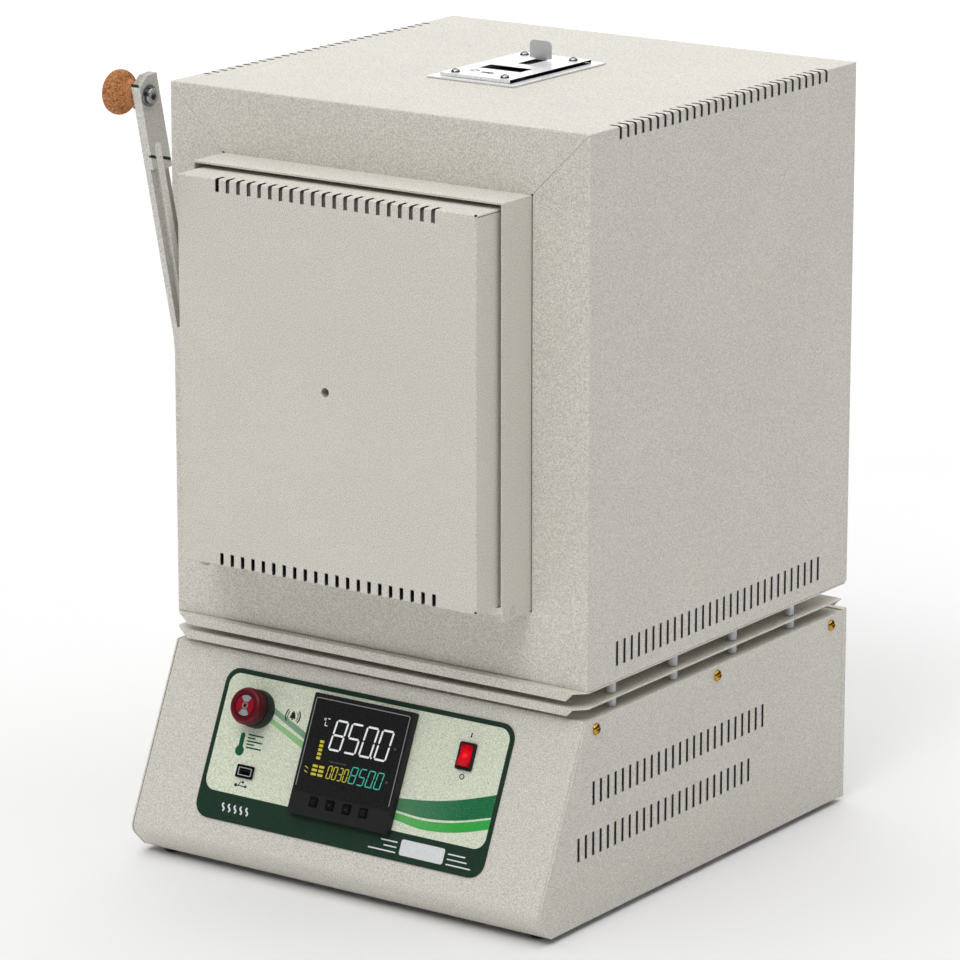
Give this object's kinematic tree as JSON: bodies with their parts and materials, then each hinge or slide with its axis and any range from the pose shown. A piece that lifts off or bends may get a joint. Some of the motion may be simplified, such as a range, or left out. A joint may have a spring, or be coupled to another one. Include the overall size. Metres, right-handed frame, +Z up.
{
  "type": "muffle furnace kiln",
  "caption": "Bench-top front-loading muffle kiln: drop-down insulated door with side lever, ceramic chamber, roof flue damper, and sloping control base.",
  "frame": {"origin": "on the floor under the middle of the furnace's bounding box", "axes": "+Z up, +X to the right seen from the front, +Y from the door to the back"},
  "size_m": [0.4042, 0.5062, 0.6492],
  "materials": {
    "powder_coat": "warm light-grey powder coat with a fine speckle, satin",
    "stainless": "brushed",
    "zinc_plate": "bright zinc plate",
    "brass": "satin",
    "ceramic_fibre": "matte, porous",
    "muffle_ceramic": "matte fired ceramic",
    "control_label": "printed polyester film",
    "black_plastic": "fine grain",
    "button_rubber": "matte",
    "alarm_red": "satin",
    "lit_red": "translucent, emissive",
    "cork": "agglomerated cork",
    "foot_rubber": "matte"
  },
  "bodies": {
    "cabinet": {"casing_shell": "powder_coat", "casing_back_panel": "powder_coat", "casing_floor_plate": "powder_coat", "heat_shield": "powder_coat", "base_side_left": "powder_coat", "base_side_right": "powder_coat", "base_front_panel": "powder_coat", "base_roof": "powder_coat", "base_back_panel": "powder_coat", "throat_plate": "stainless", "vent_plate": "stainless", "vent_cover": "stainless", "standoff_1": "zinc_plate", "standoff_2": "zinc_plate", "standoff_3": "zinc_plate", "standoff_4": "zinc_plate", "standoff_5": "zinc_plate", "standoff_6": "zinc_plate", "standoff_7": "zinc_plate", "standoff_8": "zinc_plate", "base_floor": "zinc_plate", "usb_port": "zinc_plate", "side_screw_1": "brass", "side_screw_2": "brass", "side_screw_3": "brass", "side_screw_4": "brass", "side_screw_5": "brass", "side_screw_6": "brass", "insulation_block": "ceramic_fibre", "muffle_chamber": "muffle_ceramic", "heater_left": "muffle_ceramic", "heater_right": "muffle_ceramic", "hearth_plate": "muffle_ceramic", "thermocouple": "muffle_ceramic", "flue_tube": "muffle_ceramic", "control_overlay": "control_label", "controller": "black_plastic", "switch_housing": "black_plastic", "cable_gland": "black_plastic", "power_relay": "black_plastic", "buzzer": "alarm_red", "foot_front_left": "foot_rubber", "foot_front_right": "foot_rubber", "foot_rear_left": "foot_rubber", "foot_rear_right": "foot_rubber"},
    "door": {"door_shell": "powder_coat", "door_back_plate": "stainless", "door_plug": "ceramic_fibre", "peephole_tube": "muffle_ceramic", "hinge_rail": "powder_coat", "hinge_shaft": "zinc_plate", "lever_arm": "powder_coat", "lever_knob": "cork", "knob_bolt": "zinc_plate"},
    "damper": {"vent_damper": "stainless"},
    "power_key": {"power_rocker": "lit_red"},
    "key_1": {"controller_button_1": "button_rubber"},
    "key_2": {"controller_button_2": "button_rubber"},
    "key_3": {"controller_button_3": "button_rubber"},
    "key_4": {"controller_button_4": "button_rubber"}
  },
  "joints": [
    {"name": "door_swing", "type": "hinge", "parent": "cabinet", "child": "door", "pos_m": [0, -0.1704, 0.2533], "axis": [1, 0, 0], "range_deg": [0, 90]},
    {"name": "damper_slide", "type": "slide", "parent": "cabinet", "child": "damper", "axis": [0, -1, 0], "range_m": [0, 0.022]},
    {"name": "power_rock", "type": "hinge", "parent": "cabinet", "child": "power_key", "pos_m": [0.101, -0.16676, 0.12708], "axis": [1, 0, 0], "range_deg": [0, 14]},
    {"name": "key_press_1", "type": "slide", "parent": "cabinet", "child": "key_1", "axis": [0, 0.9126, -0.4089], "range_m": [0, 0.0008], "stiffness_N_per_m": 300},
    {"name": "key_press_2", "type": "slide", "parent": "cabinet", "child": "key_2", "axis": [0, 0.9126, -0.4089], "range_m": [0, 0.0008], "stiffness_N_per_m": 300},
    {"name": "key_press_3", "type": "slide", "parent": "cabinet", "child": "key_3", "axis": [0, 0.9126, -0.4089], "range_m": [0, 0.0008], "stiffness_N_per_m": 300},
    {"name": "key_press_4", "type": "slide", "parent": "cabinet", "child": "key_4", "axis": [0, 0.9126, -0.4089], "range_m": [0, 0.0008], "stiffness_N_per_m": 300}
  ]
}
